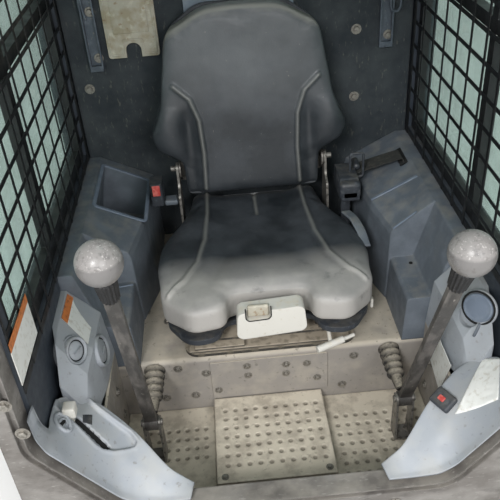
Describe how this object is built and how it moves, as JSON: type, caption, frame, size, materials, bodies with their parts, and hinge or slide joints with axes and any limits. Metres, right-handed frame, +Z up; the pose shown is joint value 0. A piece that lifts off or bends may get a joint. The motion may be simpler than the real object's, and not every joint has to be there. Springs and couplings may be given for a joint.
{
  "type": "skid steer loader operator cab",
  "caption": "Open-fronted steel operator cab of a skid steer loader, with mesh side screens, consoles, steering levers, seat bar and a sliding suspension seat.",
  "frame": {"origin": "bottom centre of the cab's bounding box", "axes": "+Y to the rear of the cab, +Z up, +X to the right as seen from the front"},
  "size_m": [0.98, 1, 1.4],
  "materials": {
    "cab_paint": "worn satin paint with dust",
    "wall_paint": "dark satin paint, dusty",
    "liner_foam": "textured foam, dusty",
    "deck_paint": "worn paint under dried dust",
    "tread_steel": "dimpled plate with dried mud",
    "screen_paint": "black paint, chipped",
    "frame_black": "black paint",
    "glass": "clear, green tint",
    "console_plastic": "grained plastic, dusty",
    "trim_plastic": "grained plastic, sun faded",
    "dark_plastic": "smooth plastic, scuffed",
    "lever_paint": "black paint, worn",
    "knob_plastic": "ball grip, worn grey",
    "boot_rubber": "moulded rubber, dusty",
    "seat_vinyl": "vinyl cover with piping",
    "seat_steel": "black paint, dusty",
    "worn_steel": "bare worn steel",
    "pale_plastic": "off-white plastic, dusty",
    "webbing": "woven webbing",
    "bar_paint": "blue-grey paint",
    "pocket_plastic": "beige plastic, dirty",
    "pad_foam": "black foam"
  },
  "bodies": {
    "cab": {"door_ring": "cab_paint", "side_wall_left": "wall_paint", "side_wall_right": "wall_paint", "window_frames": "frame_black", "side_glass": "glass", "side_screen_left": "screen_paint", "side_screen_right": "screen_paint", "rear_wall": "wall_paint", "rear_glass": "glass", "rear_liner": "liner_foam", "rear_pad": "liner_foam", "roof": "wall_paint", "roof_glass": "glass", "floor_pan": "deck_paint", "hold_downs": "deck_paint", "footwell_walls": "deck_paint", "seat_deck": "deck_paint", "riser_panel": "deck_paint", "centre_tread": "tread_steel", "side_treads": "tread_steel", "console_left": "console_plastic", "console_right": "console_plastic", "front_console_left": "trim_plastic", "front_console_right": "trim_plastic", "corner_trim_left": "trim_plastic", "corner_trim_right": "trim_plastic", "air_vents": "trim_plastic", "throttle_lever": "trim_plastic", "lever_boots": "boot_rubber", "lever_pivots": "worn_steel", "belt_retractor": "dark_plastic", "belt_webbing": "webbing", "suspension_base": "seat_steel", "suspension_links": "seat_steel", "suspension_top": "seat_steel", "rails_lower": "seat_steel", "handbook_pocket": "pocket_plastic", "wall_straps": "bar_paint", "grab_handles": "lever_paint"},
    "seat": {"rails_upper": "seat_steel", "seat_pan": "seat_steel", "seat_cushion": "seat_vinyl", "seat_brackets": "worn_steel", "weight_adjuster": "pale_plastic", "slide_handle": "pale_plastic", "belt_buckle": "dark_plastic"},
    "seat_back": {"back_cushion": "seat_vinyl", "back_shell": "dark_plastic", "back_hinges": "worn_steel"},
    "left_lever": {"lever_left": "lever_paint", "sleeve_left": "boot_rubber", "knob_left": "knob_plastic"},
    "right_lever": {"lever_right": "lever_paint", "sleeve_right": "boot_rubber", "knob_right": "knob_plastic"},
    "lap_bar": {"seat_bar": "bar_paint", "bar_pads": "pad_foam"}
  },
  "joints": [
    {"name": "seat_slide", "type": "slide", "parent": "cab", "child": "seat", "axis": [0, 1, 0], "range_m": [-0.12, 0.01]},
    {"name": "backrest_fold", "type": "hinge", "parent": "seat", "child": "seat_back", "pos_m": [0, 0.309, 0.472], "axis": [1, 0, 0], "range_deg": [0, 30]},
    {"name": "left_lever_swing", "type": "hinge", "parent": "cab", "child": "left_lever", "pos_m": [-0.278, -0.262, 0.156], "axis": [1, 0, 0], "range_deg": [-14, 14]},
    {"name": "right_lever_swing", "type": "hinge", "parent": "cab", "child": "right_lever", "pos_m": [0.278, -0.262, 0.156], "axis": [1, 0, 0], "range_deg": [-14, 14]},
    {"name": "seat_bar_swing", "type": "hinge", "parent": "cab", "child": "lap_bar", "pos_m": [0, 0.37, 0.96], "axis": [1, 0, 0], "range_deg": [0, 68]}
  ]
}
